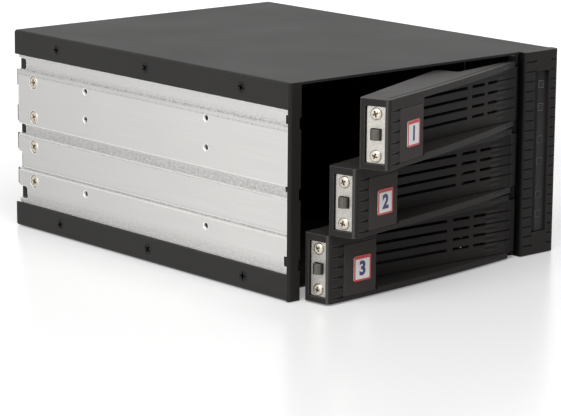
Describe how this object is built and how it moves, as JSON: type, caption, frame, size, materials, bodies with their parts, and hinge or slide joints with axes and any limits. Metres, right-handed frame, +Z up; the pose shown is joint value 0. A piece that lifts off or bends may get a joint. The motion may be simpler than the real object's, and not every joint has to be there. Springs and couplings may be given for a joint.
{
  "type": "hot swap drive cage",
  "caption": "Bay-mounted cage that holds hard drives side on behind hinged, latching front doors, with a status light column, a backplane and a rear fan.",
  "frame": {"origin": "on the underside, in the middle of the width, in the plane of the front edge of the steel shell", "axes": "+X to the right seen from the front, +Y from the front to the back, +Z up"},
  "size_m": [0.146, 0.2208, 0.086],
  "materials": {
    "black_steel": "satin black powder coat",
    "side_aluminium": "brushed and anodised",
    "end_aluminium": "brushed",
    "nickel_screw": "nickel plated",
    "black_screw": "black zinc plated",
    "front_abs": "moulded ABS",
    "door_abs": "moulded ABS, satin",
    "grip_panel": "fine texture",
    "number_label": "printed film",
    "smoked_strip": "smoked acrylic",
    "clear_light_pipe": "clear acrylic",
    "lamp": "clear lamp",
    "circuit_board": "solder mask",
    "socket_plastic": "moulded",
    "power_nylon": "moulded nylon",
    "brass_pillar": "turned",
    "rail_plastic": "moulded",
    "zinc_steel": "zinc plated",
    "fan_plastic": "moulded",
    "steel_pin": "ground",
    "spring_steel": "drawn wire",
    "catch_metal": "die cast"
  },
  "bodies": {
    "chassis": {"backplane_board": "circuit_board", "board_screws": "nickel_screw", "board_standoffs": "brass_pillar", "bottom_cover": "black_steel", "cover_screws": "black_screw", "data_ports": "socket_plastic", "divider_wall": "zinc_steel", "drive_rail_left": "rail_plastic", "drive_rail_right": "rail_plastic", "drive_sockets": "socket_plastic", "fan_frame": "fan_plastic", "fan_screws": "black_screw", "front_post": "front_abs", "hinge_pin": "steel_pin", "indicator_column": "front_abs", "indicator_strip": "smoked_strip", "led_board": "circuit_board", "light_pipes": "clear_light_pipe", "panel_screws": "nickel_screw", "power_ports": "power_nylon", "rear_bracket": "black_steel", "side_panel_left": "side_aluminium", "side_panel_right": "side_aluminium", "status_leds": "lamp", "top_cover": "black_steel"},
    "lower_door": {"lower_door_body": "door_abs", "lower_door_catch_spring": "spring_steel", "lower_door_end_plate": "end_aluminium", "lower_door_end_screws": "nickel_screw", "lower_door_grip_panel": "grip_panel", "lower_door_label": "number_label"},
    "lower_catch": {"lower_door_catch_bolt": "catch_metal"},
    "middle_door": {"middle_door_body": "door_abs", "middle_door_catch_spring": "spring_steel", "middle_door_end_plate": "end_aluminium", "middle_door_end_screws": "nickel_screw", "middle_door_grip_panel": "grip_panel", "middle_door_label": "number_label"},
    "middle_catch": {"middle_door_catch_bolt": "catch_metal"},
    "upper_door": {"upper_door_body": "door_abs", "upper_door_catch_spring": "spring_steel", "upper_door_end_plate": "end_aluminium", "upper_door_end_screws": "nickel_screw", "upper_door_grip_panel": "grip_panel", "upper_door_label": "number_label"},
    "upper_catch": {"upper_door_catch_bolt": "catch_metal"},
    "rotor": {"fan_rotor": "fan_plastic"}
  },
  "joints": [
    {"name": "lower_door_hinge", "type": "hinge", "parent": "chassis", "child": "lower_door", "pos_m": [0.0487, 0.0002, 0.01395], "axis": [0, 0, 1], "range_deg": [-5.8, 84.2]},
    {"name": "lower_catch_slide", "type": "slide", "parent": "lower_door", "child": "lower_catch", "axis": [0.9949, 0.1011, 0], "range_m": [0, 0.0019], "stiffness_N_per_m": 250, "springref_m": -0.002, "deforming": ["lower_door_catch_spring"]},
    {"name": "middle_door_hinge", "type": "hinge", "parent": "chassis", "child": "middle_door", "pos_m": [0.0487, 0.0002, 0.04185], "axis": [0, 0, 1], "range_deg": [-12, 78]},
    {"name": "middle_catch_slide", "type": "slide", "parent": "middle_door", "child": "middle_catch", "axis": [0.9781, 0.2079, 0], "range_m": [0, 0.0019], "stiffness_N_per_m": 250, "springref_m": -0.002, "deforming": ["middle_door_catch_spring"]},
    {"name": "upper_door_hinge", "type": "hinge", "parent": "chassis", "child": "upper_door", "pos_m": [0.0487, 0.0002, 0.06975], "axis": [0, 0, 1], "range_deg": [-19, 71]},
    {"name": "upper_catch_slide", "type": "slide", "parent": "upper_door", "child": "upper_catch", "axis": [0.9455, 0.3256, 0], "range_m": [0, 0.0019], "stiffness_N_per_m": 250, "springref_m": -0.002, "deforming": ["upper_door_catch_spring"]},
    {"name": "fan_spin", "type": "hinge", "parent": "chassis", "child": "rotor", "pos_m": [-0.021, 0.173, 0.043], "axis": [0, 1, 0], "continuous": true}
  ]
}
